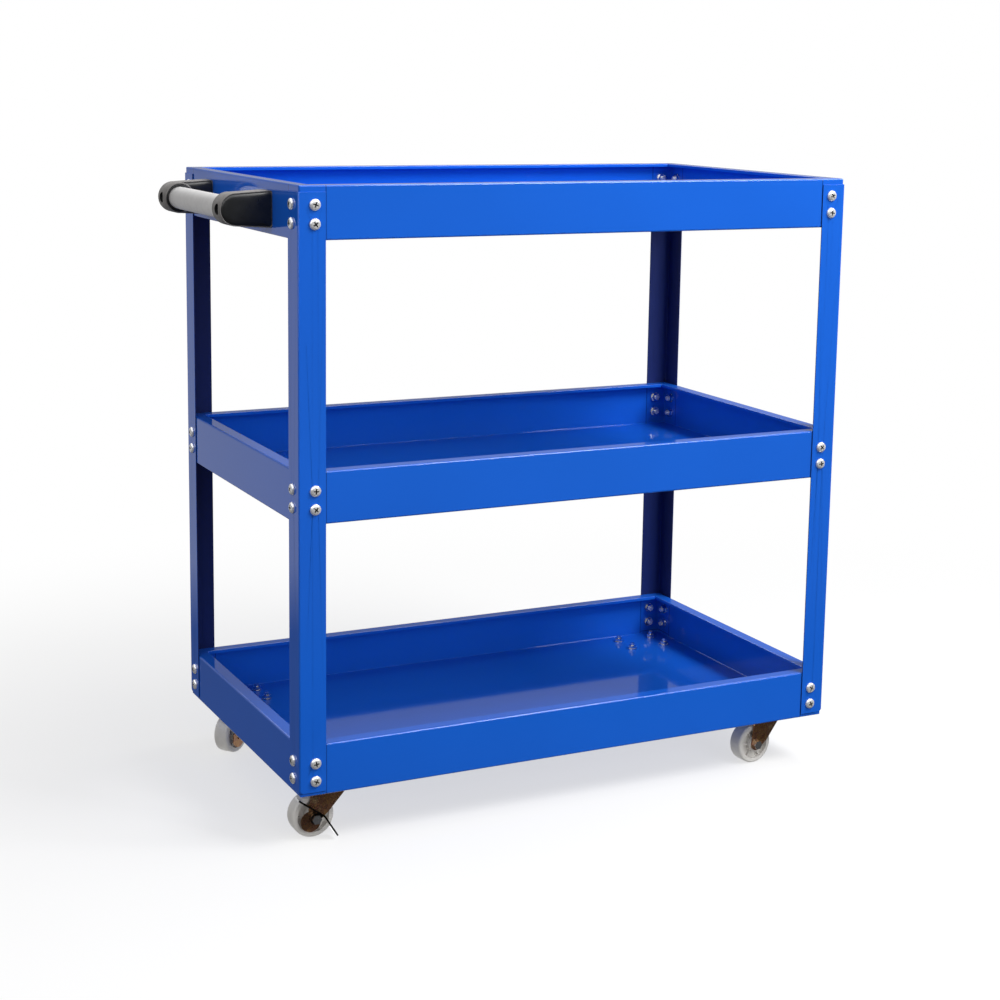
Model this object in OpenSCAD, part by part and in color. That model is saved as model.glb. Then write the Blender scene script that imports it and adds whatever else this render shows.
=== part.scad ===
// Three-tier steel tool trolley. Three open trays are screwed to four angle legs,
// a push handle is bolted to the left end of the top tray, and four swivel casters
// carry the bottom tray. The two casters at the handle end have brake pedals.
// X runs along the trolley with the handle at -X, Y runs from front to back, Z is up.
// The origin is on the floor under the middle of the whole trolley, handle included.
// All sizes are in millimetres.

/* [Frame] */
// Length over the legs
frame_l = 700; // [560:10:900]
// Width over the legs
frame_w = 400; // [320:10:600]
// Height of the top rim above the floor
frame_h = 737; // [600:1:900]

/* [Trays] */
// Height of a tray
tray_h = 58.5; // [54:0.5:90]
// Thickness of the tray sheet
tray_t = 1; // [0.8:0.1:2]
// Width of the rim that is folded inwards
rim_w = 16; // [10:1:20]
// Depth of the lip on the rim's inner edge
lip_h = 4; // [2:0.5:8]
// Outside radius of the bends in the tray sheet
tray_bend_r = 2; // [1.5:0.25:2.5]
// Width of the seams where the folded rims meet at the corners
rim_seam = 0.5; // [0.3:0.1:1]

/* [Legs] */
// Width of each flange of a leg
leg_flange = 31.5; // [28:0.5:45]
// Thickness of a leg
leg_t = 1.2; // [1:0.1:2]
// Outside radius of the bend along a leg
leg_bend_r = 2; // [1.6:0.1:3]
// How far a leg's top lies below the top rim
leg_drop = 7; // [4:0.5:12]
// How far a leg's foot lies above the underside of the bottom tray
leg_rise = 4.5; // [1:0.5:8]
// Size of the snipped corner at a leg's foot
leg_snip = 4; // [1:0.5:6]

/* [Fasteners] */
// Thread diameter of the screws and bolts
screw_d = 5.9; // [5:0.1:6]
// Diameter of the clearance holes
hole_d = 6.6; // [6.2:0.1:7]
// Diameter of a pan head
head_d = 12.6; // [11:0.1:13]
// Height of a pan head
head_h = 3.6; // [2.5:0.1:4]
// Length of a leg screw
leg_screw_l = 10; // [9:1:14]
// Width across the flats of the nuts
nut_af = 10; // [9:0.5:11]
// Height of a flange nut
nut_h = 5.2; // [4:0.1:6]
// Diameter of a flange nut's flange
nut_flange_d = 13; // [11:0.5:14]
// Distance of the leg screws from the leg's outer corner
screw_edge = 19; // [16:0.5:22]
// Distance of the upper leg screw below each rim
screw_first = 20.5; // [18:0.5:24]
// Distance between the two leg screws
screw_pitch = 20.5; // [16:0.5:24]

/* [Handle] */
// Distance of each arm's middle from the trolley's middle plane
arm_y = 104; // [70:1:120]
// Thickness of an arm
arm_t = 28; // [24:1:34]
// Height of an arm where it meets the tray
arm_root_h = 40.6; // [36:0.2:44]
// Radius of an arm's round end
arm_end_r = 18; // [16:0.5:19]
// Diameter of the handle bar
bar_d = 26; // [22:0.5:28]
// Wall of the handle bar
bar_t = 1.5; // [1:0.1:3]
// How far the bar's axis stands out from the legs
bar_out = 40; // [36:1:60]
// How far the bar's axis lies below the top rim
bar_drop = 30.5; // [28:0.5:34]
// Length of the bolts that hold the arms
arm_bolt_l = 60; // [55:5:60]
// Depth of the recess for the bolt's head
arm_recess = 9; // [7:0.5:10]

/* [Casters] */
// Height of a caster from the floor to the tray
caster_h = 62.5; // [62:0.5:66]
// Diameter of a wheel
wheel_d = 50; // [44:1:50]
// Width of a wheel's tread
wheel_t = 20; // [16:0.5:20]
// Distance from the swivel axis to the wheel's axle
trail = 25; // [22:0.5:28]
// Length of a caster's plate
plate_l = 68; // [66:1:80]
// Width of a caster's plate
plate_w = 52; // [52:1:60]
// Spacing of the plate's holes along its length
plate_hole_l = 52; // [52:1:60]
// Spacing of the plate's holes across its width
plate_hole_w = 38; // [38:1:44]
// Distance of a plate's middle from the trolley's end
caster_in_x = 54; // [52:1:70]
// Distance of a plate's middle from the trolley's side
caster_in_y = 44; // [44:1:60]
// Length of the bolts through the plates
plate_bolt_l = 12; // [10:1:14]
// How far each wheel has swung round from pointing straight at the handle's end
caster_yaw = [0, 6, 37, 12];

/* [Brakes] */
// Slope of the pedal's upper wing, which points away from the swivel axis
pedal_up_angle = 36; // [30:1:40]
// Slope of the pedal's lower wing
pedal_down_angle = 58; // [50:1:62]
// Length of the pedal's upper wing from its bend
pedal_up = 36; // [28:1:37]
// Length of the pedal's lower wing from its bend
pedal_down = 29; // [24:1:30]
// Width of the pedal along the axle
pedal_w = 12.5; // [9:0.5:14]
// Thickness of the pedal's strip
pedal_t = 2; // [1.6:0.1:2.2]
// Radius of the round plate behind the pedal
brake_plate_r = 12; // [10:0.5:13]

/* [Hidden] */
CORNERS = ["front_left", "front_right", "back_left", "back_right"];
SIDE_X = [-1, 1, -1, 1];
SIDE_Y = [-1, -1, 1, 1];
BRAKED = [true, false, true, false];
TIERS = ["bottom", "middle", "top"];
PER_CORNER = ["leg", "leg_screws", "leg_nuts", "caster_plate", "caster_kingpin", "caster_balls",
    "caster_fork", "caster_axle_bolt", "caster_axle_nut", "caster_wheel", "caster_bush"];

$fn = 48;
// A drawn shape that cuts right through another one runs past it by this much
past = 1;
// Space between pieces that move past each other without touching
free_gap = 0.3;
// Radial clearance of a bore that turns on a shaft
running_gap = 0.06;

// The middle of the frame stands off the origin, because the handle sticks out on one side only
handle_reach = bar_out + arm_end_r;
body_x = (handle_reach - head_h) / 2;

// Rims of the bottom, middle and top trays, evenly spaced
tray_pitch = (frame_h - caster_h - tray_h) / 2;
tray_tops = [for (i = [0:2]) caster_h + tray_h + i * tray_pitch];
tray_l = frame_l - 2 * leg_t;
tray_w = frame_w - 2 * leg_t;
wall_t = leg_t + tray_t;
leg_foot = caster_h + leg_rise;
leg_top = frame_h - leg_drop;
head_dome_r = 12;
recess_w = 1.3;
recess_l = 6.2;

// Handle
bar_z = frame_h - bar_drop;
wall_x = -tray_l / 2;
bar_x = -frame_l / 2 - bar_out;
arm_end_x = bar_x - arm_end_r;
arm_inner_y = arm_y - arm_t / 2;
bar_half_l = arm_y - 7;
socket_gap = 0.1;
collar_t = 3;
collar_h = 2.5;
arm_recess_r = 6.2;
arm_head_d = 10.5;
arm_head_h = 4;

// Casters: everything is stacked down from the plate
plate_t = 2;
plate_z = caster_h - plate_t;
wheel_r = wheel_d / 2;
ball_r = 2.1;
ball_ring_r = 10.4;
ball_count = 12;
crown_t = 2;
crown_top = plate_z - free_gap - 2 * ball_r;
crown_z = crown_top - crown_t;
skirt_r = 14.6;
skirt_t = 1.6;
skirt_z = crown_top + 0.9;
pin_r = 4;
pin_head_r = 6.7;
pin_head_t = 0.9;
pin_foot_r = 7;
pin_foot_t = 1.5;
horn_t = 2;
horn_in = wheel_t / 2 + 1.7;
horn_out = horn_in + horn_t;
horn_bend_x = -8;
horn_nose_x = 12;
horn_nose_r = 8;
horn_back_x = -trail - 4;
crown_r = 15;
boss_r = 7.5;
axle_r = 3;
bush_r = 4.5;
hub_r = 9.5;
hub_half = wheel_t / 2 + 1;
axle_head_h = 4;
axle_nut_h = 5;
axle_stub = 2;
brake_plate_t = 1.5;
brake_plate_x = -5;
brake_plate_z = -4;
brake_rivet_r = 2;
brake_rivet_h = 1.1;
pedal_web_t = 1.5;
pedal_web_r = 6.5;
pedal_web_y = brake_rivet_h + 0.2;
saddle_r = 7.6;
pedal_tab_w = 9;
pedal_bend_steps = 4;

// The point where a line from p touches the circle of radius r round c, on the side given by +1 or -1
function touch(p, c, r, side) =
    let (a = atan2(p[1] - c[1], p[0] - c[0]) + side * acos(r / norm(p - c)))
    c + r * [cos(a), sin(a)];

// ---------- Shared shapes ----------

// A rectangle with round corners, centred on the origin
module rounded_rect(l, w, r) {
    square([l - 2 * r, w], center = true);
    square([l, w - 2 * r], center = true);
    for (x = [-1, 1], y = [-1, 1])
        translate([x * (l / 2 - r), y * (w / 2 - r)]) circle(r);
}

// A square with one corner, at the origin, rounded
module bent_square(a, r) {
    translate([r, 0]) square([a - r, a]);
    translate([0, r]) square([a, a - r]);
    translate([r, r]) circle(r);
}

// A pyramid that cuts the corner at the origin off along the plane x + y + z = a
module corner_cut(a) {
    far = a + 2 * past;
    polyhedron([[-past, -past, -past], [far, -past, -past], [-past, far, -past], [-past, -past, far]],
               [[0, 1, 2], [0, 3, 1], [0, 2, 3], [1, 3, 2]]);
}

// A pan head screw: its head stands on z = 0 and its shank hangs below
module pan_screw(d, h, l) {
    difference() {
        intersection() {
            cylinder(d = d, h = h);
            translate([0, 0, h - head_dome_r]) sphere(head_dome_r, $fn = 96);
        }
        for (turn = [0, 90])
            rotate([0, 0, turn])
                translate([-recess_l / 2, -recess_w / 2, h - 1.8]) cube([recess_l, recess_w, 3]);
    }
    translate([0, 0, -l]) cylinder(d = screw_d, h = l + 0.2);
}

// A flange nut that stands on z = 0
module flange_nut() {
    difference() {
        union() {
            cylinder(d = nut_flange_d, h = 1.3);
            cylinder(d = nut_af / cos(30), h = nut_h, $fn = 6);
        }
        translate([0, 0, -past]) cylinder(d = screw_d + 0.1, h = nut_h + 2 * past);
    }
}

// ---------- Places ----------

// Moves a shape from the frame's own middle to the origin that the trolley uses
module in_frame() {
    translate([body_x, 0, 0]) children();
}

// Every screw place on one leg, with +Z pointing out of the leg and z = 0 on its outer face
module at_leg_screws(i) {
    for (top = tray_tops, k = [0, 1]) {
        z = top - screw_first - k * screw_pitch;
        translate([SIDE_X[i] * (frame_l / 2 - screw_edge), SIDE_Y[i] * frame_w / 2, z])
            rotate([-90 * SIDE_Y[i], 0, 0]) children();
        translate([SIDE_X[i] * frame_l / 2, SIDE_Y[i] * (frame_w / 2 - screw_edge), z])
            rotate([0, 90 * SIDE_X[i], 0]) children();
    }
}

// The middle of one caster's plate, on the floor
module at_caster(i) {
    translate([SIDE_X[i] * (frame_l / 2 - caster_in_x), SIDE_Y[i] * (frame_w / 2 - caster_in_y), 0])
        children();
}

// The frame of one caster's fork: its wheel lies at -X of the swivel axis
module at_fork(i) {
    at_caster(i) rotate([0, 0, caster_yaw[i]]) children();
}

// The middle of one caster's wheel, with +Z along the axle towards the fork's near cheek
module at_axle(i) {
    at_fork(i) translate([-trail, 0, wheel_r]) rotate([90, 0, 0]) children();
}

// The four holes of a caster's plate
module at_plate_holes() {
    for (x = [-1, 1], y = [-1, 1])
        translate([x * plate_hole_l / 2, y * plate_hole_w / 2, 0]) children();
}

// The axes of the two handle bolts, with +Z pointing out of the handle's end
module at_handle_bolts() {
    for (side = [-1, 1]) translate([0, side * arm_y, bar_z]) rotate([0, -90, 0]) children();
}

// ---------- Trays and legs ----------

// A block with all its edges rounded, standing on z = 0
module rounded_block(l, w, h, r) {
    intersection() {
        linear_extrude(h) rounded_rect(l, w, r);
        translate([-l / 2, 0, h / 2]) rotate([90, 0, 90]) linear_extrude(l) rounded_rect(w, h, r);
        translate([0, w / 2, h / 2]) rotate([90, 0, 0]) linear_extrude(w) rounded_rect(l, h, r);
    }
}

// Section of an opening of width a whose edge flares out with radius r up to z = 0
module flared_section(a, r) {
    difference() {
        translate([-a / 2 - r, -r]) square([a + 2 * r, r + past]);
        for (x = [-1, 1]) translate([x * (a / 2 + r), -r]) circle(r);
    }
    translate([-a / 2, -2 * lip_h]) square([a, 2 * lip_h + past]);
}

// The opening in a tray's rim, as wide as the space between the lips
module rim_opening() {
    l = tray_l - 2 * rim_w;
    w = tray_w - 2 * rim_w;
    intersection() {
        translate([-tray_l / 2, 0, 0]) rotate([90, 0, 90]) linear_extrude(tray_l) flared_section(w, tray_t);
        translate([0, tray_w / 2, 0]) rotate([90, 0, 0]) linear_extrude(tray_w) flared_section(l, tray_t);
    }
}

// The cuts at the four corners where the rims and lips of two sides meet
module rim_seams() {
    start = 2 * tray_bend_r;
    for (x = [-1, 1], y = [-1, 1])
        translate([x * tray_l / 2, y * tray_w / 2, 0])
            rotate([0, 0, atan2(-y, -x)])
                translate([start * sqrt(2), -rim_seam / 2, -lip_h - past])
                    cube([(rim_w - start + past) * sqrt(2), rim_seam, lip_h + 2 * past]);
}

// The sheet of a tray whose rim is at height top: floor, walls, folded rim and its lip
module tray_sheet(top) {
    inside_l = tray_l - 2 * tray_t;
    inside_w = tray_w - 2 * tray_t;
    lip_out_l = tray_l - 2 * (rim_w - tray_t);
    lip_out_w = tray_w - 2 * (rim_w - tray_t);
    difference() {
        translate([0, 0, top - tray_h]) difference() {
            rounded_block(tray_l, tray_w, tray_h, tray_bend_r);
            difference() {
                translate([0, 0, tray_t])
                    rounded_block(inside_l, inside_w, tray_h - 2 * tray_t, tray_bend_r - tray_t);
                translate([-lip_out_l / 2, -lip_out_w / 2, tray_h - lip_h])
                    cube([lip_out_l, lip_out_w, lip_h]);
            }
        }
        translate([0, 0, top]) rim_opening();
        translate([0, 0, top]) rim_seams();
    }
}

// Holes through the tray's walls for the leg screws
module leg_screw_holes() {
    for (i = [0:3])
        at_leg_screws(i) translate([0, 0, -wall_t - past]) cylinder(d = hole_d, h = wall_t + 2 * past);
}

// One tray: the bottom one is drilled for the casters and the top one for the handle
module tray(tier) {
    color([0.08, 0.30, 0.78]) in_frame() difference() {
        tray_sheet(tray_tops[tier]);
        leg_screw_holes();
        if (tier == 0)
            for (i = [0:3])
                at_caster(i) translate([0, 0, caster_h - past]) at_plate_holes()
                    cylinder(d = hole_d, h = tray_t + 2 * past);
        if (tier == 2)
            at_handle_bolts() translate([0, 0, -wall_x - tray_t - past])
                cylinder(d = hole_d, h = tray_t + 2 * past);
    }
}

// One angle leg, drilled for its screws, with the corner of its foot snipped off
module leg(i) {
    color([0.10, 0.36, 0.84]) in_frame() difference() {
        translate([SIDE_X[i] * frame_l / 2, SIDE_Y[i] * frame_w / 2, leg_foot])
            mirror([SIDE_X[i] > 0 ? 1 : 0, 0, 0]) mirror([0, SIDE_Y[i] > 0 ? 1 : 0, 0])
                difference() {
                    linear_extrude(leg_top - leg_foot) difference() {
                        bent_square(leg_flange, leg_bend_r);
                        translate([leg_t, leg_t]) bent_square(leg_flange, leg_bend_r - leg_t);
                    }
                    corner_cut(leg_snip);
                }
        at_leg_screws(i) translate([0, 0, -leg_t - past]) cylinder(d = hole_d, h = leg_t + 2 * past);
    }
}

// The pan head screws of one leg
module leg_screws(i) {
    color("silver") in_frame() at_leg_screws(i) pan_screw(head_d, head_h, leg_screw_l);
}

// The flange nuts of one leg, on the inside of the trays
module leg_nuts(i) {
    color("lightgray") in_frame() at_leg_screws(i)
        translate([0, 0, -wall_t]) mirror([0, 0, 1]) flange_nut();
}

// ---------- Handle ----------

// Side view of an arm: flat against the tray's wall, tapering to a round end round the bar
module arm_outline() {
    tip = [bar_x, bar_z];
    upper = [wall_x, bar_z + arm_root_h / 2];
    lower = [wall_x, bar_z - arm_root_h / 2];
    polygon([upper, touch(upper, tip, arm_end_r, 1), touch(lower, tip, arm_end_r, -1), lower]);
    translate(tip) circle(arm_end_r, $fn = 96);
}

// One moulded arm, with a socket for the bar and a recessed bolt hole. side is -1 at the front
module handle_arm(side) {
    color([0.13, 0.13, 0.14]) in_frame() difference() {
        union() {
            translate([0, side * arm_y + arm_t / 2, 0]) rotate([90, 0, 0])
                linear_extrude(arm_t) arm_outline();
            translate([bar_x, side * arm_inner_y, bar_z]) rotate([90 * side, 0, 0])
                cylinder(r = bar_d / 2 + collar_t, h = collar_h);
        }
        translate([bar_x, 0, bar_z]) rotate([-90 * side, 0, 0])
            cylinder(r = bar_d / 2 + socket_gap, h = bar_half_l + socket_gap);
        translate([0, side * arm_y, bar_z]) rotate([0, -90, 0]) {
            translate([0, 0, -wall_x - past]) cylinder(d = hole_d, h = handle_reach + 2 * past + leg_t);
            translate([0, 0, -arm_end_x - arm_recess]) cylinder(r = arm_recess_r, h = arm_recess + past);
        }
    }
}

// The tube between the arms
module handle_bar() {
    color([0.75, 0.75, 0.76]) in_frame() translate([bar_x, bar_half_l, bar_z]) rotate([90, 0, 0])
        difference() {
            cylinder(d = bar_d, h = 2 * bar_half_l, $fn = 96);
            translate([0, 0, -past])
                cylinder(d = bar_d - 2 * bar_t, h = 2 * bar_half_l + 2 * past, $fn = 96);
        }
}

// The two long screws that hold the arms to the tray
module handle_bolts() {
    color("silver") in_frame() at_handle_bolts()
        translate([0, 0, -arm_end_x - arm_recess]) pan_screw(arm_head_d, arm_head_h, arm_bolt_l);
}

module handle_nuts() {
    color("lightgray") in_frame() at_handle_bolts()
        translate([0, 0, -wall_x - tray_t]) mirror([0, 0, 1]) flange_nut();
}

// ---------- Casters ----------

// The screws that hold the four plates, with their heads below the plates
module caster_bolts() {
    color("silver") in_frame() for (i = [0:3])
        at_caster(i) translate([0, 0, plate_z]) at_plate_holes() mirror([0, 0, 1])
            pan_screw(head_d, head_h, plate_bolt_l);
}

// Their flange nuts, on the floor of the bottom tray
module caster_nuts() {
    color("lightgray") in_frame() for (i = [0:3])
        at_caster(i) translate([0, 0, caster_h + tray_t]) at_plate_holes() flange_nut();
}

// Pressed plate with a skirt round the ball race
module caster_plate(i) {
    color([0.72, 0.62, 0.42]) in_frame() at_caster(i) difference() {
        union() {
            translate([0, 0, plate_z]) linear_extrude(plate_t) rounded_rect(plate_l, plate_w, 6);
            translate([0, 0, skirt_z]) difference() {
                cylinder(r = skirt_r + skirt_t, h = plate_z - skirt_z + 0.2);
                translate([0, 0, -past]) cylinder(r = skirt_r, h = plate_z - skirt_z + past);
            }
        }
        translate([0, 0, plate_z - past]) {
            at_plate_holes() cylinder(d = hole_d, h = plate_t + 2 * past);
            cylinder(r = pin_r, h = plate_t + 2 * past);
        }
        translate([0, 0, caster_h - pin_head_t - 0.1]) cylinder(r = pin_head_r + 0.1, h = past);
    }
}

// Rivet that joins the plate to the fork
module caster_kingpin(i) {
    foot_z = crown_z - free_gap - pin_foot_t;
    color([0.70, 0.70, 0.72]) in_frame() at_caster(i) {
        translate([0, 0, foot_z]) cylinder(r = pin_r, h = caster_h - 0.1 - foot_z);
        translate([0, 0, foot_z]) cylinder(r = pin_foot_r, h = pin_foot_t);
        translate([0, 0, caster_h - 0.1 - pin_head_t]) cylinder(r = pin_head_r, h = pin_head_t);
    }
}

// The ring of balls between the plate and the fork's crown
module caster_balls(i) {
    color([0.85, 0.85, 0.87]) in_frame() at_fork(i)
        for (k = [0:ball_count - 1])
            rotate([0, 0, k * 360 / ball_count])
                translate([ball_ring_r, 0, crown_top + ball_r]) sphere(ball_r);
}

// Plan of the fork: two cheeks that are parallel at the back and meet in a round nose. The plan
// starts at back_x, and inset moves its outline inwards
module horn_plan(back_x, inset) {
    half = horn_out - inset;
    r = horn_nose_r - inset;
    nose = [horn_nose_x, 0];
    bend = [horn_bend_x, half];
    tangent = touch(bend, nose, r, -1);
    polygon([[back_x, -half], [bend[0], -half], [tangent[0], -tangent[1]], tangent, bend, [back_x, half]]);
    translate(nose) circle(r);
}

// Side view of the fork: a round boss at the axle widening up to the crown
module horn_side() {
    boss = [-trail, wheel_r];
    front = [horn_nose_x + horn_nose_r, crown_z];
    back = [horn_back_x, crown_z];
    polygon([touch(front, boss, boss_r, -1), front, [front[0], crown_top], [back[0], crown_top], back,
             touch(back, boss, boss_r, 1)]);
    translate(boss) circle(boss_r);
}

// Bent fork with a crown that turns on the kingpin
module caster_fork(i) {
    color([0.62, 0.48, 0.30]) in_frame() at_fork(i) difference() {
        intersection() {
            union() {
                linear_extrude(crown_top) difference() {
                    horn_plan(horn_back_x - boss_r, 0);
                    horn_plan(horn_back_x - boss_r - past, horn_t);
                }
                translate([0, 0, crown_z]) linear_extrude(crown_t) {
                    horn_plan(horn_back_x, 0);
                    circle(crown_r);
                }
            }
            translate([0, crown_r + past, 0]) rotate([90, 0, 0])
                linear_extrude(2 * (crown_r + past)) horn_side();
        }
        translate([0, 0, crown_z - past]) cylinder(r = pin_r + running_gap, h = crown_t + 2 * past);
        translate([-trail, 0, wheel_r]) rotate([90, 0, 0])
            cylinder(r = axle_r + 0.05, h = 3 * horn_out, center = true);
    }
}

// How far the axle bolt's head stands from the wheel's middle: a brake needs room under it
function axle_head_y(i) =
    horn_out + (BRAKED[i] ? brake_plate_t + pedal_web_y + pedal_web_t + 2 * free_gap : 0);

module caster_axle_bolt(i) {
    head_y = axle_head_y(i);
    tail_y = horn_out + axle_nut_h + axle_stub;
    color([0.80, 0.80, 0.82]) in_frame() at_axle(i) {
        translate([0, 0, head_y]) cylinder(d = nut_af / cos(30), h = axle_head_h, $fn = 6);
        translate([0, 0, -tail_y]) cylinder(r = axle_r, h = tail_y + head_y + 0.2);
    }
}

module caster_axle_nut(i) {
    color([0.80, 0.80, 0.82]) in_frame() at_axle(i) translate([0, 0, -horn_out - axle_nut_h])
        difference() {
            cylinder(d = nut_af / cos(30), h = axle_nut_h, $fn = 6);
            translate([0, 0, -past]) cylinder(r = axle_r + 0.05, h = axle_nut_h + 2 * past);
        }
}

// Section of a wheel from its bore to its tread, with a hollow in each face
module wheel_section() {
    rim_in = wheel_r - 6;
    web_half = 4;
    difference() {
        union() {
            translate([bush_r, -wheel_t / 2]) square([wheel_r - bush_r - 4, wheel_t]);
            translate([wheel_r - 6, 0]) rounded_rect(12, wheel_t, 3);
            translate([bush_r, -hub_half]) square([hub_r - bush_r, 2 * hub_half]);
        }
        for (side = [-1, 1])
            translate([hub_r, side > 0 ? web_half : -web_half - hub_half])
                square([rim_in - hub_r, hub_half]);
    }
}

// Plastic wheel with shallow spokes in the hollow of each face
module caster_wheel(i) {
    color([0.82, 0.81, 0.79]) in_frame() at_axle(i) {
        rotate_extrude($fn = 96) wheel_section();
        for (k = [0:5])
            rotate([0, 0, k * 60]) translate([hub_r - 1, -0.8, -7.5])
                cube([wheel_r - 6 - hub_r + 2, 1.6, 15]);
    }
}

// Steel sleeve in the wheel's bore, running on the axle bolt
module caster_bush(i) {
    color([0.70, 0.70, 0.72]) in_frame() at_axle(i) difference() {
        cylinder(r = bush_r, h = 2 * (horn_in - free_gap), center = true);
        cylinder(r = axle_r + running_gap, h = 4 * horn_in, center = true);
    }
}

// Round plate of a brake, held on the fork's outer face by the axle bolt and a rivet
module brake_plate(i) {
    color([0.60, 0.46, 0.28]) in_frame() at_axle(i) translate([0, 0, horn_out]) difference() {
        translate([brake_plate_x, brake_plate_z, 0]) {
            cylinder(r = brake_plate_r, h = brake_plate_t);
            cylinder(r = brake_rivet_r, h = brake_plate_t + brake_rivet_h);
        }
        translate([0, 0, -past]) cylinder(r = axle_r + 0.05, h = brake_plate_t + brake_rivet_h + 2 * past);
    }
}

// Direction of the pedal's face above the axle, from 0 at the lower wing to 1 at the upper one
function pedal_face(part) =
    let (lower = 90 - pedal_down_angle, upper = 90 - pedal_up_angle) lower + part * (upper - lower);

// One side of the pedal's strip, r from the axle, from the lower wing's end to the upper wing's end
function pedal_line(r) =
    let (bend = [for (k = [0:pedal_bend_steps])
                    let (a = pedal_face(k / pedal_bend_steps)) r * [cos(a), sin(a)]],
         lower_end = bend[0] + pedal_down * [cos(pedal_down_angle), -sin(pedal_down_angle)],
         upper_end = bend[pedal_bend_steps] + pedal_up * [-cos(pedal_up_angle), sin(pedal_up_angle)])
        concat([lower_end], bend, [upper_end]);

// End view of the pedal's strip: two wings that meet in a bend over the axle bolt's head
module pedal_strip() {
    inner = pedal_line(saddle_r);
    outer = pedal_line(saddle_r + pedal_t);
    polygon(concat(inner, [for (k = [len(outer) - 1:-1:0]) outer[k]]));
}

// The pedal's flat web, which turns on the axle bolt under its head
module pedal_web() {
    difference() {
        union() {
            circle(pedal_web_r);
            rotate(pedal_face(0.5)) translate([0, -pedal_tab_w / 2])
                square([saddle_r + pedal_t / 2, pedal_tab_w]);
        }
        circle(axle_r + running_gap);
    }
}

// Pressed steel rocker pedal of a brake
module brake_pedal(i) {
    color([0.78, 0.78, 0.80]) in_frame() at_axle(i)
        translate([0, 0, horn_out + brake_plate_t + free_gap]) {
            linear_extrude(pedal_w) pedal_strip();
            translate([0, 0, pedal_web_y]) linear_extrude(pedal_web_t) pedal_web();
        }
}

// ---------- Sub-parts ----------

for (tier = [0:2]) tray(tier);
for (i = [0:3]) leg(i);
for (i = [0:3]) leg_screws(i);
for (i = [0:3]) leg_nuts(i);
for (i = [0:3]) caster_plate(i);
for (i = [0:3]) caster_kingpin(i);
for (i = [0:3]) caster_balls(i);
for (i = [0:3]) caster_fork(i);
for (i = [0:3]) caster_axle_bolt(i);
for (i = [0:3]) caster_axle_nut(i);
for (i = [0:3]) caster_wheel(i);
for (i = [0:3]) caster_bush(i);
brake_pedal(0);  // brake_pedal_front_left
brake_pedal(2);  // brake_pedal_back_left
brake_plate(0);  // brake_plate_front_left
brake_plate(2);  // brake_plate_back_left
caster_bolts();
caster_nuts();
handle_arm(-1);  // handle_arm_front
handle_arm(1);  // handle_arm_back
handle_bar();
handle_bolts();
handle_nuts();
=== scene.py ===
import math

import bmesh
import bpy
import numpy as np
from mathutils import Matrix, Vector


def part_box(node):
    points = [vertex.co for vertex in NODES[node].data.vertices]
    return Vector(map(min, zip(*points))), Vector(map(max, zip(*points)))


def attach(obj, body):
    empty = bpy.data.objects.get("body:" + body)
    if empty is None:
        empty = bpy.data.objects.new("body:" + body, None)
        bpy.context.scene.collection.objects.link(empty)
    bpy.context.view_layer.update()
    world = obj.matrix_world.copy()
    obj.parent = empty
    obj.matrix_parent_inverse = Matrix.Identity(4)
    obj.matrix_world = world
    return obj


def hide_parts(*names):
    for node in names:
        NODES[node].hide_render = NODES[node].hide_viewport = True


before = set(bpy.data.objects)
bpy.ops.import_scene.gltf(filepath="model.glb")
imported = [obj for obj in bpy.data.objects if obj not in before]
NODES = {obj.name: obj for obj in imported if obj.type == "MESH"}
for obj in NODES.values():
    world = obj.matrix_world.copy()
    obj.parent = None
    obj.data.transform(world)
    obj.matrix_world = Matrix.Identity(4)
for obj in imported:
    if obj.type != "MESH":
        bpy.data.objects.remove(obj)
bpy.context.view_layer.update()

MM = 0.001
CORNERS = ("front_left", "front_right", "back_left", "back_right")


# ---------- Places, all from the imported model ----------

def middle(node):
    """The middle of a CAD node's box."""
    low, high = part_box(node)
    return (low + high) / 2


def size(node):
    """The lengths of a CAD node's box."""
    low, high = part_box(node)
    return high - low


# ---------- Materials ----------

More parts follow.
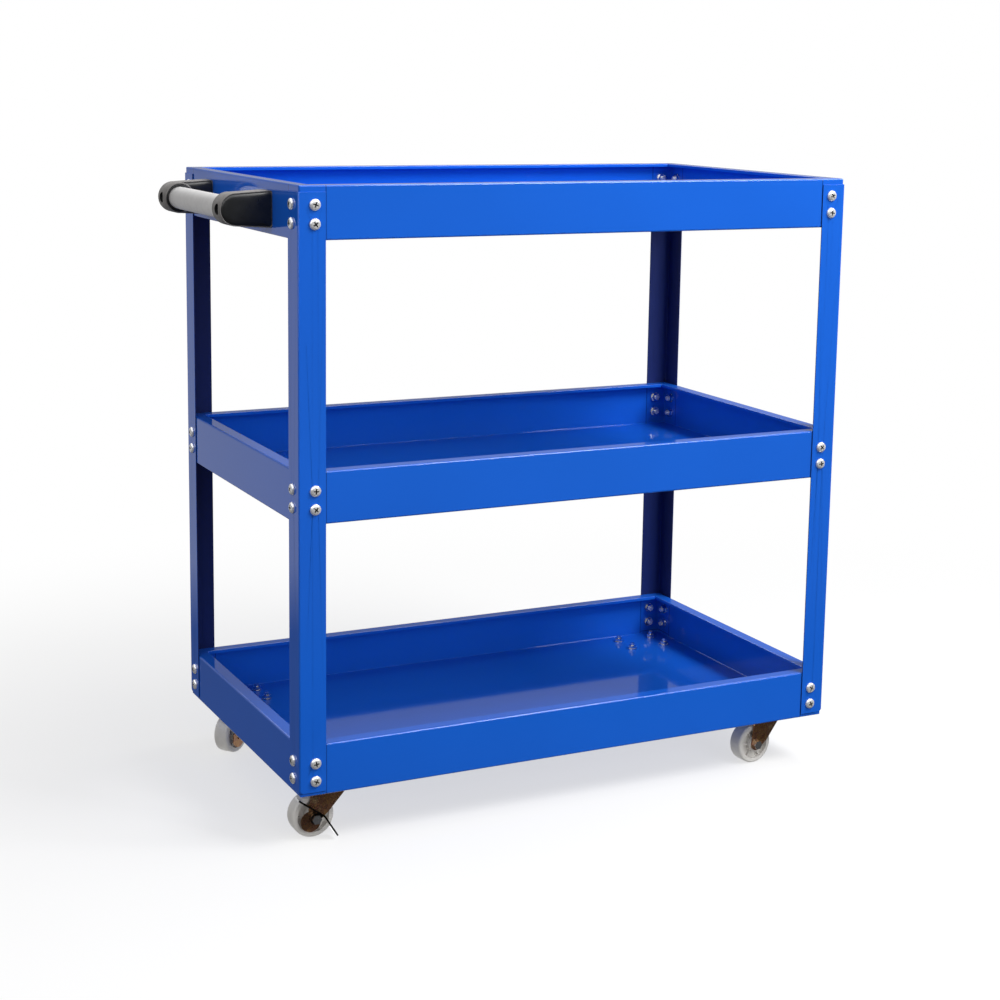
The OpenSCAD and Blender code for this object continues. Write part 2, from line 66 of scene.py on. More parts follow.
class Shader:
    """A node material round one Principled shader, with short ways to add textures to it."""

    def __init__(self, name, color, metallic=0.0, roughness=0.5, ior=1.5):
        self.mat = bpy.data.materials.new(name)
        self.mat.use_nodes = True
        self.tree = self.mat.node_tree
        self.bsdf = self.tree.nodes["Principled BSDF"]
        self.bsdf.inputs["Base Color"].default_value = (*color, 1)
        self.bsdf.inputs["Metallic"].default_value = metallic
        self.bsdf.inputs["Roughness"].default_value = roughness
        self.bsdf.inputs["IOR"].default_value = ior
        self.mat.diffuse_color = (*color, 1)
        self.coords = self.node("ShaderNodeTexCoord")
        self.bump_out = None

    def node(self, kind, **inputs):
        made = self.tree.nodes.new(kind)
        for key, value in inputs.items():
            made.inputs[key.replace("_", " ")].default_value = value
        return made

    def link(self, out, into):
        self.tree.links.new(out, into)

    def math(self, operation, a, b=None):
        made = self.node("ShaderNodeMath")
        made.operation = operation
        for socket, value in zip(made.inputs, (a, b)):
            if value is None:
                continue
            if isinstance(value, (int, float)):
                socket.default_value = value
            else:
                self.link(value, socket)
        return made.outputs[0]

    def noise(self, scale, detail=3.0, rough=0.5):
        made = self.node("ShaderNodeTexNoise", Scale=scale, Detail=detail, Roughness=rough)
        self.link(self.coords.outputs["Object"], made.inputs["Vector"])
        return made.outputs["Fac"]

    def ramp(self, value, stops):
        made = self.node("ShaderNodeValToRGB")
        ramp = made.color_ramp
        while len(ramp.elements) < len(stops):
            ramp.elements.new(0.5)
        for element, (place, color) in zip(ramp.elements, stops):
            element.position = place
            element.color = (*color, 1)
        self.link(value, made.inputs["Fac"])
        return made.outputs["Color"]

    def mix(self, factor, a, b):
        made = self.node("ShaderNodeMix")
        made.data_type = "RGBA"
        for socket, value in ((made.inputs[0], factor), (made.inputs[6], a), (made.inputs[7], b)):
            if isinstance(value, (int, float)):
                socket.default_value = value
            elif isinstance(value, tuple):
                socket.default_value = (*value, 1)
            else:
                self.link(value, socket)
        return made.outputs[2]

    def color(self, out):
        self.link(out, self.bsdf.inputs["Base Color"])

    def roughness(self, value, low, high):
        made = self.node("ShaderNodeMapRange")
        made.inputs["From Min"].default_value = 0.3
        made.inputs["From Max"].default_value = 0.7
        made.inputs["To Min"].default_value = low
        made.inputs["To Max"].default_value = high
        self.link(value, made.inputs["Value"])
        self.link(made.outputs[0], self.bsdf.inputs["Roughness"])

    def bump(self, height, strength, distance):
        made = self.node("ShaderNodeBump")
        made.inputs["Strength"].default_value = strength
        made.inputs["Distance"].default_value = distance
        self.link(height, made.inputs["Height"])
        if self.bump_out is not None:
            self.link(self.bump_out, made.inputs["Normal"])
        self.bump_out = made.outputs["Normal"]
        self.link(self.bump_out, self.bsdf.inputs["Normal"])


PAINT = (0.009, 0.116, 0.62)
# The dark navy below is painted shade, put on the legs' inside faces and where the legs meet the tray.
PAINTED_SHADE = (0.003, 0.014, 0.11)


def paint(name, inner=None, leg_edges=None):
    """Glossy powder coat with orange peel. A leg's inside faces, towards inner, are duller and painted
    darker: painted shade.

    leg_edges is (middle x, x of a flange's edge, y of a flange's edge, half length, half width, foot): the
    tray's paint is darkened along the legs' edges, a painted shade where legs and tray meet.
    """
    s = Shader(name, PAINT, roughness=0.08, ior=1.45)
    tint = s.noise(6, 2)
    color = s.mix(tint, tuple(0.93 * c for c in PAINT), tuple(1.07 * c for c in PAINT))
    rough = s.math("ADD", s.math("MULTIPLY", s.noise(40, 3), 0.05), 0.045)
    if inner is not None:
        outward = s.node("ShaderNodeVectorMath")
        outward.operation = "SUBTRACT"
        s.link(s.coords.outputs["Object"], outward.inputs[0])
        outward.inputs[1].default_value = inner
        dot = s.node("ShaderNodeVectorMath")
        dot.operation = "DOT_PRODUCT"
        s.link(outward.outputs[0], dot.inputs[0])
        s.link(s.coords.outputs["Normal"], dot.inputs[1])
        facing_in = s.math("LESS_THAN", dot.outputs["Value"], 0.0)
        # Painted shade: faces that point into the trolley, where shade falls, get the dark navy
        color = s.mix(facing_in, color, PAINTED_SHADE)
        rough = s.math("ADD", rough, s.math("MULTIPLY", facing_in, 0.45))
    if leg_edges is not None:
        mid_x, edge_x, edge_y, half_l, half_w, foot = leg_edges
        split = s.node("ShaderNodeSeparateXYZ")
        s.link(s.coords.outputs["Object"], split.inputs[0])
        x = s.math("ABSOLUTE", s.math("SUBTRACT", split.outputs["X"], mid_x))
        y = s.math("ABSOLUTE", split.outputs["Y"])
        z = split.outputs["Z"]

        def near(value, line, width=0.9 * MM):
            """1 on the line, falling to 0 at width from it."""
            away = s.math("DIVIDE", s.math("ABSOLUTE", s.math("SUBTRACT", value, line)), width)
            return s.math("MAXIMUM", s.math("SUBTRACT", 1.0, away), 0.0)

        # Painted shade: a thin dark band on the tray next to the legs' edges and just below their feet
        on_side = s.math("GREATER_THAN", y, half_w - 1.5 * MM)
        on_end = s.math("GREATER_THAN", x, half_l - 1.5 * MM)
        seam_shade = s.math("MULTIPLY", near(x, edge_x - 0.5 * MM), on_side)
        seam_shade = s.math("MAXIMUM", seam_shade, s.math("MULTIPLY", near(y, edge_y - 0.5 * MM), on_end))
        by_leg = s.math("MAXIMUM", s.math("MULTIPLY", s.math("GREATER_THAN", x, edge_x), on_side),
                        s.math("MULTIPLY", s.math("GREATER_THAN", y, edge_y), on_end))
        seam_shade = s.math("MAXIMUM", seam_shade, s.math("MULTIPLY", near(z, foot - 0.5 * MM), by_leg))
        # The band gets the dark navy of painted shade
        color = s.mix(s.math("MULTIPLY", seam_shade, 0.85), color, PAINTED_SHADE)
    s.color(color)
    s.link(rough, s.bsdf.inputs["Roughness"])
    s.bump(s.noise(9, 1), 0.06, 0.002)
    s.bump(s.noise(600, 1), 0.04, 0.0002)
    return s.mat


def zinc(name, color, roughness, metallic=1.0):
    """Bright zinc plating with a fine grain."""
    s = Shader(name, color, metallic=metallic, roughness=roughness)
    s.color(s.mix(s.noise(300, 3), tuple(0.8 * c for c in color), tuple(min(1, 1.1 * c) for c in color)))
    s.roughness(s.noise(500, 2), roughness * 0.8, roughness * 1.5)
    s.bump(s.noise(2500, 2), 0.05, 0.00005)
    return s.mat


def yellow_zinc(name, depth=1.0):
    """Yellow passivated zinc, with drifting brown, gold and rose tints. A lower depth scales every tint
    darker.
    """
    s = Shader(name, (0.24 * depth, 0.13 * depth, 0.08 * depth), metallic=0.85, roughness=0.26)
    fine = s.math("MULTIPLY", s.math("SUBTRACT", s.noise(420, 3), 0.5), 0.35)
    drift = s.math("ADD", s.noise(70, 4, 0.6), fine)
    stops = ((0.30, (0.24, 0.09, 0.055)), (0.45, (0.44, 0.24, 0.10)), (0.55, (0.30, 0.13, 0.09)),
             (0.70, (0.52, 0.36, 0.18)))
    s.color(s.ramp(drift, [(place, tuple(depth * c for c in color)) for place, color in stops]))
    s.roughness(s.noise(220, 3), 0.18, 0.36)
    s.bump(s.noise(1500, 2), 0.06, 0.0001)
    return s.mat


def pressed_steel(name, color, edge, roughness):
    """Bright plated strip whose cut edges and web, which face along the wheel's axle, are painted dark:
    painted shade and a painted dark reflection.
    """
    s = Shader(name, color, metallic=1.0, roughness=roughness)
    split = s.node("ShaderNodeSeparateXYZ")
    s.link(s.coords.outputs["Normal"], split.inputs[0])
    # Painted shade and dark reflection: faces along the axle get the dark edge colour
    faces_along_axle = s.math("GREATER_THAN", s.math("ABSOLUTE", split.outputs["Y"]), 0.7)
    plated = s.mix(s.noise(300, 3), tuple(0.85 * c for c in color), tuple(min(1, 1.1 * c) for c in color))
    painted_dark = s.mix(s.noise(260, 3), tuple(0.6 * c for c in edge), tuple(1.6 * c for c in edge))
    s.color(s.mix(faces_along_axle, plated, painted_dark))
    s.roughness(s.noise(500, 2), roughness * 0.8, roughness * 1.5)
    s.bump(s.noise(2500, 2), 0.05, 0.00005)
    return s.mat


def moulded(name, color, roughness, grain=0.0, grain_scale=2500):
    """Moulded plastic: grain is how deep its texture is, 0 for a smooth face."""
    s = Shader(name, color, roughness=roughness, ior=1.5)
    s.color(s.mix(s.noise(90, 3), tuple(0.88 * c for c in color), tuple(1.12 * c for c in color)))
    s.roughness(s.noise(150, 3), roughness * 0.85, min(1, roughness * 1.15))
    if grain:
        s.bump(s.noise(grain_scale, 2, 0.6), grain, 0.0002)
    else:
        s.bump(s.noise(250, 2), 0.03, 0.0002)
    return s.mat


# ---------- Meshes ----------

def mesh_piece(name, verts, faces, mats, body, indices, angle):
    """A new smooth piece riding on a body. Its edges sharper than angle stay sharp."""
    me = bpy.data.meshes.new(name)
    me.from_pydata([tuple(v) for v in verts], [], faces)
    me.update()
    obj = bpy.data.objects.new(name, me)
    bpy.context.scene.collection.objects.link(obj)
    for mat in mats:
        me.materials.append(mat)
    me.polygons.foreach_set("material_index", indices)
    bm = bmesh.new()
    bm.from_mesh(me)
    bmesh.ops.recalc_face_normals(bm, faces=bm.faces)
    bm.to_mesh(me)
    bm.free()
    me.polygons.foreach_set("use_smooth", [True] * len(me.polygons))
    me.set_sharp_from_angle(angle=math.radians(angle))
    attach(obj, body)
    return obj


def loft(loops):
    """Faces between equal loops of vertices, with a face over each end."""
    count = len(loops[0])
    verts = [v for loop in loops for v in loop]
    faces = []
    for k in range(len(loops) - 1):
        a, b = k * count, (k + 1) * count
        for i in range(count):
            j = (i + 1) % count
            faces.append((a + i, a + j, b + j, b + i))
    faces.append(tuple(range(count)))
    faces.append(tuple(range((len(loops) - 1) * count, len(loops) * count)))
    return verts, faces


# ---------- Handle arms ----------

def arm_loop(inset, y, tip, r, root_x, root_h, steps=36):
    """One level of an arm: a round end about tip, straight sides, and a flat end at root_x."""
    corner = 2.0 * MM
    loop = []
    half = root_h / 2 - inset
    radius = r - inset
    wall = root_x - min(inset, 1.2 * MM)
    upper = Vector((wall - tip[0], half))
    lean = math.atan2(upper.y, upper.x) + math.acos(radius / upper.length)
    for k in range(steps + 1):
        a = lean + (2 * math.pi - 2 * lean) * k / steps
        loop.append((tip[0] + radius * math.cos(a), y, tip[1] + radius * math.sin(a)))
    for k in range(5):
        a = math.radians(-90 + 22.5 * k)
        loop.append((wall - corner + corner * math.cos(a), y, tip[1] - half + corner + corner * math.sin(a)))
    for k in range(5):
        a = math.radians(22.5 * k)
        loop.append((wall - corner + corner * math.cos(a), y, tip[1] + half - corner + corner * math.sin(a)))
    return loop


def ring_section(points, center, axis_y, steps=64):
    """A ring round the Y axis through center, from a closed section of (radius, y) points."""
    verts, faces = [], []
    count = len(points)
    for k in range(steps):
        a = 2 * math.pi * k / steps
        for radius, y in points:
            verts.append((center[0] + radius * math.cos(a), axis_y + y, center[1] + radius * math.sin(a)))
    for k in range(steps):
        for i in range(count):
            j = (i + 1) % count
            n = (k + 1) % steps
            faces.append((k * count + i, k * count + j, n * count + j, n * count + i))
    return verts, faces


def cut(obj, radius, start, end):
    """Cuts a round hole along the line from start to end out of obj."""
    start, end = Vector(start), Vector(end)
    bm = bmesh.new()
    turn = (end - start).to_track_quat("Z", "Y").to_matrix().to_4x4()
    bmesh.ops.create_cone(bm, cap_ends=True, segments=64, radius1=radius, radius2=radius,
                          depth=(end - start).length,
                          matrix=Matrix.Translation((start + end) / 2) @ turn)
    me = bpy.data.meshes.new("cutter")
    bm.to_mesh(me)
    bm.free()
    cutter = bpy.data.objects.new("cutter", me)
    bpy.context.scene.collection.objects.link(cutter)
    mod = obj.modifiers.new("hole", "BOOLEAN")
    mod.operation = "DIFFERENCE"
    mod.solver = "EXACT"
    mod.object = cutter
    graph = bpy.context.evaluated_depsgraph_get()
    cut_mesh = bpy.data.meshes.new_from_object(obj.evaluated_get(graph))
    obj.modifiers.clear()
    old = obj.data
    obj.data = cut_mesh
    bpy.data.meshes.remove(old)
    bpy.data.objects.remove(cutter)


ARM_END_R = 18 * MM
ARM_HALF = 14 * MM
ARM_HOLE_R = 6.2 * MM
ARM_HOLE_DEPTH = 9 * MM
CUT_START = 10 * MM
BAR_HOLE_R = 13.1 * MM


def handle_arm(side_name, face_mat, band_mat, ring_mat):
    """A moulded arm: a grained band round its edge, domed smooth faces, a ring round the bar."""
    node = "handle_arm_" + side_name
    low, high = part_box(node)
    bar_low, bar_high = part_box("handle_bar")
    side = -1 if side_name == "front" else 1
    tip = (low.x + ARM_END_R, (bar_low.z + bar_high.z) / 2)
    outer = low.y if side < 0 else high.y
    mid_y = outer - side * ARM_HALF
    root_h = high.z - low.z
    levels = [(9, 14.0), (6.5, 13.95), (4.6, 13.75), (3.2, 13.4), (2.2, 12.95), (1.6, 12.5), (1.3, 12.0),
              (1.0, 12.0), (0.75, 12.75), (0.3, 12.9), (0, 12.6)]
    section = [(inset * MM, -y * MM) for inset, y in levels]
    section += [(inset * MM, y * MM) for inset, y in levels[::-1]]
    loops = [arm_loop(inset, mid_y + y, tip, ARM_END_R, high.x, root_h) for inset, y in section]
    verts, faces = loft(loops)
    count = len(loops[0])
    band = len(levels) - 5
    indices = []
    for k in range(len(loops) - 1):
        is_band = band <= k < len(loops) - 1 - band
        indices += [1 if is_band else 0] * count
    indices += [0, 0]
    arm = mesh_piece("moulded_" + node, verts, faces, [face_mat, band_mat, ring_mat], "frame",
                     indices, angle=50)
    cut(arm, ARM_HOLE_R, (low.x - CUT_START, mid_y, tip[1]), (low.x + ARM_HOLE_DEPTH, mid_y, tip[1]))
    end_y = (bar_high.y if side > 0 else bar_low.y) + side * 0.1 * MM
    cut(arm, BAR_HOLE_R, (tip[0], mid_y - side * 30 * MM, tip[1]), (tip[0], end_y, tip[1]))
    ring_y = outer - side * 2 * ARM_HALF
    dark_ring = [(13.15, -3), (13.15, 0.6), (13.5, 1.2), (14.6, 1.5), (15.9, 1.3), (16.3, 0.8), (16.3, -3)]
    band_ring = [(16.35, -3), (16.35, 1.9), (16.6, 2.3), (17.0, 2.4), (17.6, 2.1), (17.95, 1.4), (17.95, -3)]
    bm = bmesh.new()
    bm.from_mesh(arm.data)
    for ring, slot_index in ((dark_ring, 2), (band_ring, 1)):
        points = [(radius * MM, -side * out * MM) for radius, out in ring]
        ring_verts, ring_faces = ring_section(points, tip, ring_y)
        made = [bm.verts.new(v) for v in ring_verts]
        new_faces = []
        for f in ring_faces:
            face = bm.faces.new([made[i] for i in f])
            face.material_index = slot_index
            new_faces.append(face)
        bmesh.ops.recalc_face_normals(bm, faces=new_faces)
    bm.to_mesh(arm.data)
    bm.free()
    arm.data.polygons.foreach_set("use_smooth", [True] * len(arm.data.polygons))
    arm.data.set_sharp_from_angle(angle=math.radians(50))
    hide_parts(node)


# ---------- Screws ----------

def islands(obj):
    """The boxes of an imported node's separate solids, as (low, high) arrays."""
    count = len(obj.data.vertices)
    flat = np.empty(count * 3)
    obj.data.vertices.foreach_get("co", flat)
    points = flat.reshape(-1, 3)
    _, same = np.unique(np.round(points, 6), axis=0, return_inverse=True)
    same = same.ravel()
    root = list(range(same.max() + 1))

    def find(i):
        while root[i] != i:
            root[i] = root[root[i]]
            i = root[i]
        return i

    for edge in obj.data.edges:
        a, b = find(same[edge.vertices[0]]), find(same[edge.vertices[1]])
        root[a] = b
    groups = {}
    for i in range(count):
        groups.setdefault(find(same[i]), []).append(i)
    return [(points[g].min(axis=0), points[g].max(axis=0)) for g in groups.values()]


SCREW_HEAD_D = 12.6 * MM
SCREW_HEAD_H = 3.6 * MM
SCREW_SHANK_D = 5.9 * MM
SCREW_TURN = 23
SCREW_TURN_STEP = 37


def screw_template(head_d, head_h, shank_d, length, mats):
    """A pan head screw with a tapered cross recess: +Z points out of its head, which stands on z = 0."""
    r, rs = head_d / 2, shank_d / 2
    profile = [(rs - 0.4 * MM, -length), (rs, -length + 0.4 * MM), (rs, 0), (r - 0.25 * MM, 0),
               (r, 0.3 * MM), (r, head_h * 0.28), (r - 0.12 * MM, head_h * 0.42), (r * 0.93, head_h * 0.58),
               (r * 0.82, head_h * 0.76), (r * 0.66, head_h * 0.9), (r * 0.4, head_h * 0.98),
               (r * 0.2, head_h)]
    steps = 40
    loops = [[(radius * math.cos(2 * math.pi * k / steps), radius * math.sin(2 * math.pi * k / steps), z)
              for k in range(steps)] for radius, z in profile]
    verts, faces = loft(loops)
    me = bpy.data.meshes.new("screw")
    me.from_pydata(verts, [], faces)
    screw = bpy.data.objects.new("screw", me)
    bpy.context.scene.collection.objects.link(screw)

    arm, half = head_d * 0.27, head_d * 0.062
    cross = [(arm, -half), (arm, half), (half, half), (half, arm), (-half, arm), (-half, half),
             (-arm, half), (-arm, -half), (-half, -half), (-half, -arm), (half, -arm), (half, -half)]
    cuts, cut_faces = loft([[(x * k, y * k, z) for x, y in cross]
                            for k, z in ((0.55, head_h - 2.1 * MM), (1.25, head_h + 1.5 * MM))])
    cut_me = bpy.data.meshes.new("recess")
    cut_me.from_pydata(cuts, [], cut_faces)
    cutter = bpy.data.objects.new("recess", cut_me)
    bpy.context.scene.collection.objects.link(cutter)
    for mesh in (me, cut_me):
        for mat in mats:
            mesh.materials.append(mat)
        bm = bmesh.new()
        bm.from_mesh(mesh)
        bmesh.ops.recalc_face_normals(bm, faces=bm.faces)
        bm.to_mesh(mesh)
        bm.free()
    # The recess takes the second material, a dark zinc: painted shade in the cross recess
    cut_me.polygons.foreach_set("material_index", [1] * len(cut_me.polygons))
    mod = screw.modifiers.new("recess", "BOOLEAN")
    mod.operation = "DIFFERENCE"
    mod.solver = "EXACT"
    mod.object = cutter
    graph = bpy.context.evaluated_depsgraph_get()
    done = bpy.data.meshes.new_from_object(screw.evaluated_get(graph))
    shape = ([tuple(v.co) for v in done.vertices], [tuple(p.vertices) for p in done.polygons],
             [p.material_index for p in done.polygons])
    bpy.data.objects.remove(screw)
    bpy.data.objects.remove(cutter)
    for mesh in (me, cut_me, done):
        bpy.data.meshes.remove(mesh)
    return shape


def screws(node, head_d, head_h, shank_d, axes, mats, center):
    """All the screws of a node: each lies where its CAD solid does, its head outwards."""
    verts, faces, indices = [], [], []
    for k, (low, high) in enumerate(sorted(islands(NODES[node]), key=lambda box: tuple(np.round(box[0], 4)))):
        extent = high - low
        axis = max(axes, key=lambda i: extent[i] - head_d)
        mid = (low + high) / 2
        sign = 1 if mid[axis] > center[axis] else -1
        out = np.zeros(3)
        out[axis] = sign
        tip = mid.copy()
        tip[axis] = high[axis] if sign > 0 else low[axis]
        length = extent[axis] - head_h
        shape = screw_template(head_d, head_h, shank_d, length, mats)
        turn = Vector(out).to_track_quat("Z", "Y").to_matrix()
        turn = turn @ Matrix.Rotation(math.radians(SCREW_TURN + SCREW_TURN_STEP * k), 3, "Z")
        base = Vector(tip - out * head_h)
        start = len(verts)
        verts += [tuple(base + turn @ Vector(v)) for v in shape[0]]
        faces += [tuple(start + i for i in f) for f in shape[1]]
        indices += shape[2]
    piece = mesh_piece("cross_" + node, verts, faces, mats, "frame", indices, angle=35)
    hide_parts(node)


# ---------- Stage ----------

def area_light(name, place, target, width, height, power, mirrored=True):
    """A softbox at place, facing target. Unless mirrored, the glossy paint doesn't show it."""
    data = bpy.data.lights.new(name, "AREA")
    data.shape = "RECTANGLE"
    data.size, data.size_y = width, height
    data.energy = power
    light = bpy.data.objects.new(name, data)
    bpy.context.scene.collection.objects.link(light)
    light.location = place
    light.rotation_euler = (Vector(target) - Vector(place)).to_track_quat("-Z", "Y").to_euler()
    light.visible_glossy = mirrored


def build_world():
    """White paper all round for the eye; the gloss sees a dim room in front and a lit wall behind."""
    world = bpy.data.worlds.new("studio")
    bpy.context.scene.world = world
    world.use_nodes = True
    tree = world.node_tree
    background = tree.nodes["Background"]
    background.inputs["Color"].default_value = (1, 1, 1, 1)

    def calc(operation, a, b=None, clamp=False):
        made = tree.nodes.new("ShaderNodeMath")
        made.operation = operation
        made.use_clamp = clamp
        for socket, value in zip(made.inputs, (a, b)):
            if isinstance(value, (int, float)):
                socket.default_value = value
            elif value is not None:
                tree.links.new(value, socket)
        return made.outputs[0]

    direction = tree.nodes.new("ShaderNodeTexCoord")
    split = tree.nodes.new("ShaderNodeSeparateXYZ")
    tree.links.new(direction.outputs["Generated"], split.inputs[0])
    behind = calc("MULTIPLY_ADD", split.outputs["Y"], 0.9)
    behind.node.inputs[2].default_value = 0.35
    behind = calc("MINIMUM", calc("MAXIMUM", behind, 0.0), 1.0)
    left = calc("MAXIMUM", calc("MULTIPLY", split.outputs["X"], -1.0), 0.0)
    above = calc("MULTIPLY", calc("SUBTRACT", split.outputs["Z"], 0.37), 10.0, clamp=True)
    light = calc("MULTIPLY_ADD", behind, GLOSS_BACK)
    light.node.inputs[2].default_value = GLOSS_FRONT
    light = calc("ADD", light, calc("MULTIPLY", left, GLOSS_LEFT))
    light = calc("ADD", light, calc("MULTIPLY", above, GLOSS_ABOVE))
    path = tree.nodes.new("ShaderNodeLightPath")
    seen = path.outputs["Is Camera Ray"]
    gloss = path.outputs["Is Glossy Ray"]
    ambient = calc("MULTIPLY", calc("SUBTRACT", 1.0, gloss), AMBIENT)
    strength = calc("ADD", calc("MULTIPLY", light, gloss), ambient)
    strength = calc("ADD", calc("MULTIPLY", strength, calc("SUBTRACT", 1.0, seen)), seen)
    tree.links.new(strength, background.inputs["Strength"])


def build_floor():
    """A white paper floor. In the gloss it is dim in front and round the trolley, lit behind and under it."""
    me = bpy.data.meshes.new("floor")
    edge = FLOOR_HALF
    corners = [(-edge, -edge, 0), (edge, -edge, 0), (edge, edge, 0), (-edge, edge, 0)]
    me.from_pydata(corners, [], [(0, 1, 2, 3)])
    floor = bpy.data.objects.new("floor", me)
    bpy.context.scene.collection.objects.link(floor)
    s = Shader("floor_paper", (0.92, 0.92, 0.92), roughness=0.9)
    s.color(s.mix(s.noise(3, 2), (0.915, 0.915, 0.915), (0.925, 0.925, 0.925)))
    s.bsdf.inputs["Specular IOR Level"].default_value = 0.0
    split = s.node("ShaderNodeSeparateXYZ")
    s.link(s.coords.outputs["Object"], split.inputs[0])
    x, y = split.outputs["X"], split.outputs["Y"]
    round_x = s.math("POWER", s.math("ABSOLUTE", s.math("DIVIDE", x, DIM_X)), 2.0)
    round_y = s.math("POWER", s.math("ABSOLUTE", s.math("DIVIDE", y, DIM_Y)), 2.0)
    away = s.math("SQRT", s.math("ADD", round_x, round_y))
    lit = s.node("ShaderNodeMapRange")
    for socket, value in (("From Min", 1.2), ("From Max", 1.8), ("To Min", 0.12), ("To Max", GLOSS_FLOOR)):
        lit.inputs[socket].default_value = value
    s.link(away, lit.inputs["Value"])
    inside = s.math("MAXIMUM", s.math("DIVIDE", s.math("ABSOLUTE", x), UNDER_X),
                    s.math("DIVIDE", s.math("ABSOLUTE", y), UNDER_Y))
    under = s.node("ShaderNodeMapRange")
    for socket, value in (("From Min", 0.9), ("From Max", 1.0), ("To Min", GLOSS_UNDER), ("To Max", 0.0)):
        under.inputs[socket].default_value = value
    s.link(inside, under.inputs["Value"])
    back = s.node("ShaderNodeMapRange")
    for socket, value in (("From Min", -0.6), ("From Max", 0.1), ("To Min", 0.18), ("To Max", 1.0)):
        back.inputs[socket].default_value = value
    s.link(y, back.inputs["Value"])
    glow = s.node("ShaderNodeEmission")
    open_floor = s.math("MULTIPLY", lit.outputs[0], back.outputs[0])
    s.link(s.math("MAXIMUM", open_floor, under.outputs[0]), glow.inputs["Strength"])
    # The paper fades to plain white with distance, as its far part is lit like the background
    white = s.node("ShaderNodeEmission", Strength=1.0)
    fade = s.node("ShaderNodeMapRange")
    fade.interpolation_type = "SMOOTHSTEP"
    for socket, value in (("From Min", 0.5), ("From Max", 2.0), ("To Min", 0.62), ("To Max", 1.0)):
        fade.inputs[socket].default_value = value
    s.link(away, fade.inputs["Value"])
    path = s.node("ShaderNodeLightPath")
    seen = s.node("ShaderNodeMixShader")
    s.link(s.math("MULTIPLY", fade.outputs[0], path.outputs["Is Camera Ray"]), seen.inputs[0])
    s.link(s.bsdf.outputs[0], seen.inputs[1])
    s.link(white.outputs[0], seen.inputs[2])
    # Soft light that bounces off the paper is weak, as in a room whose floor is not all white
    bounce = s.node("ShaderNodeEmission", Strength=FLOOR_BOUNCE)
    soft = s.node("ShaderNodeMixShader")
    s.link(path.outputs["Is Diffuse Ray"], soft.inputs[0])
    s.link(seen.outputs[0], soft.inputs[1])
    s.link(bounce.outputs[0], soft.inputs[2])
    both = s.node("ShaderNodeMixShader")
    s.link(path.outputs["Is Glossy Ray"], both.inputs[0])
    s.link(soft.outputs[0], both.inputs[1])
    s.link(glow.outputs[0], both.inputs[2])
    s.link(both.outputs[0], s.tree.nodes["Material Output"].inputs["Surface"])
    me.materials.append(s.mat)


def build_camera():
    data = bpy.data.cameras.new("camera")
    camera = bpy.data.objects.new("camera", data)
    bpy.context.scene.collection.objects.link(camera)
    data.lens = LENS
    data.sensor_width = 36
    data.shift_y = SHIFT_Y
    right = Vector(RIGHT)
    look = Vector(LOOK)
    up = right.cross(look)
    turn = Matrix(((right.x, up.x, -look.x), (right.y, up.y, -look.y), (right.z, up.z, -look.z)))
    tray_middle = middle("tray_top")
    camera.matrix_world = Matrix.Translation((tray_middle.x + EYE[0], EYE[1], EYE[2])) @ turn.to_4x4()
    bpy.context.scene.camera = camera


# Half the floor's side, and the half lengths of its dim patch and of the lit patch under the trolley
FLOOR_HALF = 14
DIM_X = 0.8
DIM_Y = 0.65
UNDER_X = 0.34
UNDER_Y = 0.20

# How bright each part of the studio is in the gloss, and how bright the soft light is
GLOSS_FRONT = 0.06
GLOSS_BACK = 0.30
GLOSS_LEFT = 0.25
GLOSS_ABOVE = 2.2
GLOSS_FLOOR = 0.58
GLOSS_UNDER = 1.1
FLOOR_BOUNCE = 0.30
AMBIENT = 0.46

# The camera, fitted to the trolley's edges and corners. EYE's x is measured from the top tray's middle
LENS = 68.64
SHIFT_Y = -0.10
EYE = (-1.04726, -2.08841, 0.85276)
RIGHT = (0.896827, -0.44213555, 0.01474732)
LOOK = (0.43815079, 0.88315731, -0.1675024)


# ---------- The trolley ----------

tray_low, tray_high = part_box("tray_top")
flange = size("leg_front_left").x
# The tray's paint holds painted shade along the legs' edges
tray_mat = paint("powder_coat_tray", leg_edges=(
    middle("tray_top").x, middle("tray_top").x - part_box("leg_front_left")[0].x - flange,
    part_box("leg_back_left")[1].y - flange, (tray_high.x - tray_low.x) / 2,
    (tray_high.y - tray_low.y) / 2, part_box("leg_front_left")[0].z))
# The legs' inside faces get painted shade
leg_mat = paint("powder_coat_leg", inner=tuple(middle("tray_middle")))
zinc_mat = zinc("bright_zinc", (0.80, 0.81, 0.84), 0.14)
screw_mat = zinc("screw_zinc", (0.86, 0.86, 0.87), 0.22, 0.45)
# The screws' cross recesses are painted dark: painted shade
recess_shade_mat = zinc("screw_recess_painted_shade", (0.10, 0.10, 0.105), 0.4, 0.8)
# The pedal's dark colour is painted shade and dark reflection on its faces along the axle
pedal_mat = pressed_steel("pedal_steel", (0.90, 0.90, 0.91), (0.03, 0.028, 0.027), 0.1)
steel_mat = zinc("plain_steel", (0.5, 0.5, 0.52), 0.3)
fork_mat = yellow_zinc("yellow_zinc")
brake_plate_mat = yellow_zinc("yellow_zinc_dark", 0.55)
wheel_mat = moulded("wheel_nylon", (0.72, 0.70, 0.67), 0.42)
arm_face_mat = moulded("arm_gloss", (0.010, 0.0105, 0.011), 0.32)
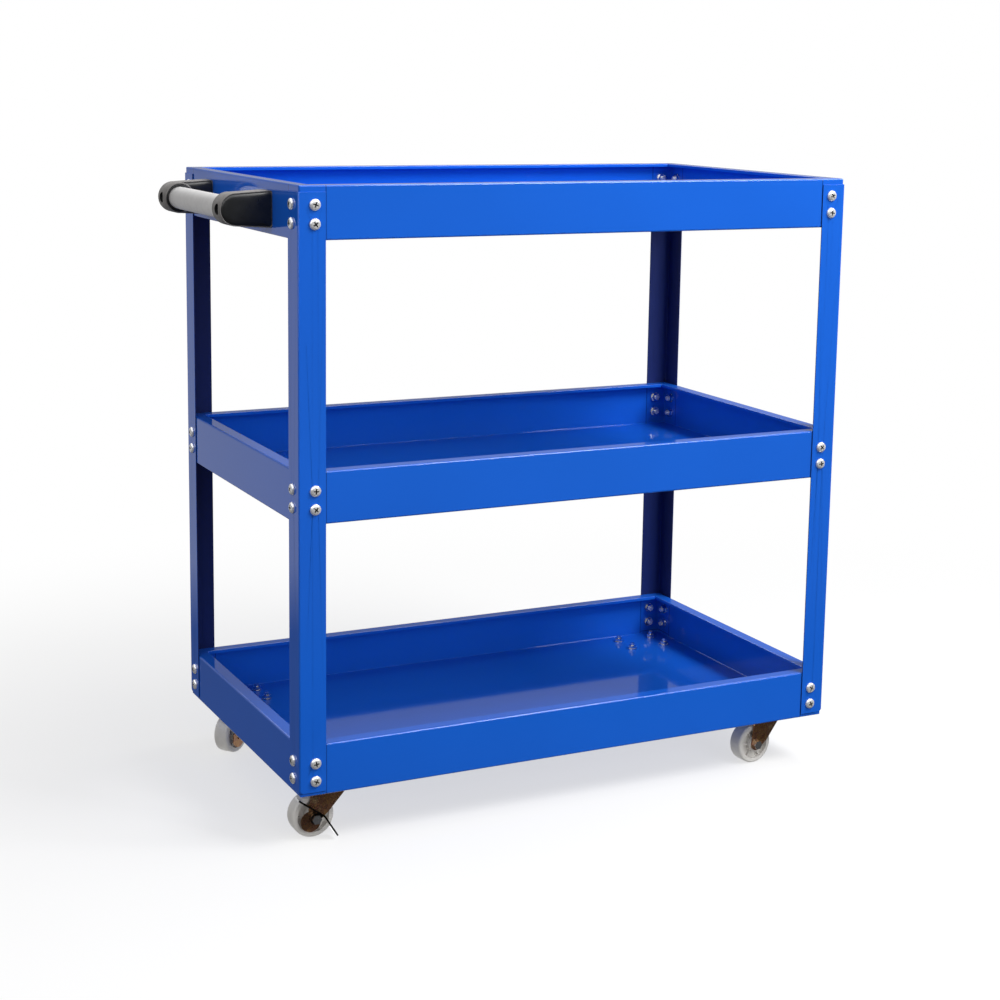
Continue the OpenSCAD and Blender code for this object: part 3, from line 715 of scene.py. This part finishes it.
arm_band_mat = moulded("arm_grain", (0.150, 0.142, 0.138), 0.62, 0.5, 1300)
arm_ring_mat = moulded("arm_collar", (0.008, 0.008, 0.009), 0.5)
bar_mat = moulded("bar_paint", (0.60, 0.59, 0.59), 0.45, 0.12)

BY_START = (("leg_screws", zinc_mat), ("leg_nuts", zinc_mat), ("leg_", leg_mat), ("caster_plate", fork_mat),
            ("caster_fork", fork_mat), ("caster_wheel", wheel_mat), ("caster_kingpin", steel_mat),
            ("caster_balls", steel_mat), ("caster_bush", steel_mat), ("caster_", zinc_mat),
            ("brake_plate", brake_plate_mat), ("brake_", pedal_mat), ("handle_arm", arm_face_mat),
            ("handle_bar", bar_mat), ("handle_", zinc_mat), ("tray_", tray_mat))
for name, obj in NODES.items():
    mat = next(m for start, m in BY_START if name.startswith(start))
    if obj.material_slots:
        for slot in obj.material_slots:
            slot.material = mat
    else:
        obj.data.materials.append(mat)

for corner in CORNERS:
    leg = NODES["leg_" + corner]
    weld = leg.modifiers.new("weld", "WELD")
    weld.merge_threshold = 0.00001
    bevel = leg.modifiers.new("bevel", "BEVEL")
    bevel.width = 0.3 * MM
    bevel.segments = 2
    bevel.limit_method = "ANGLE"
    bevel.angle_limit = math.radians(50)
    bevel.harden_normals = True

frame_middle = middle("tray_middle")
for corner in CORNERS:
    screws("leg_screws_" + corner, SCREW_HEAD_D, SCREW_HEAD_H, SCREW_SHANK_D, (0, 1),
           (screw_mat, recess_shade_mat), frame_middle)

for side_name in ("front", "back"):
    handle_arm(side_name, arm_face_mat, arm_band_mat, arm_ring_mat)

bpy.context.scene.view_settings.view_transform = "Standard"
build_world()
build_floor()
build_camera()
area_light("key", (1.0, -1.3, 2.0), (0, 0, 0.5), 1.0, 1.0, 44)
area_light("front", (0.9, -3.0, 1.3), (0, 0, 0.5), 1.8, 1.2, 18, mirrored=False)
area_light("left", (-2.3, -1.2, 1.6), (0, 0, 0.5), 1.2, 1.2, 9)
area_light("top", (1.0, 0.0, 2.8), (0.3, 0, 0.5), 1.7, 0.7, 16)
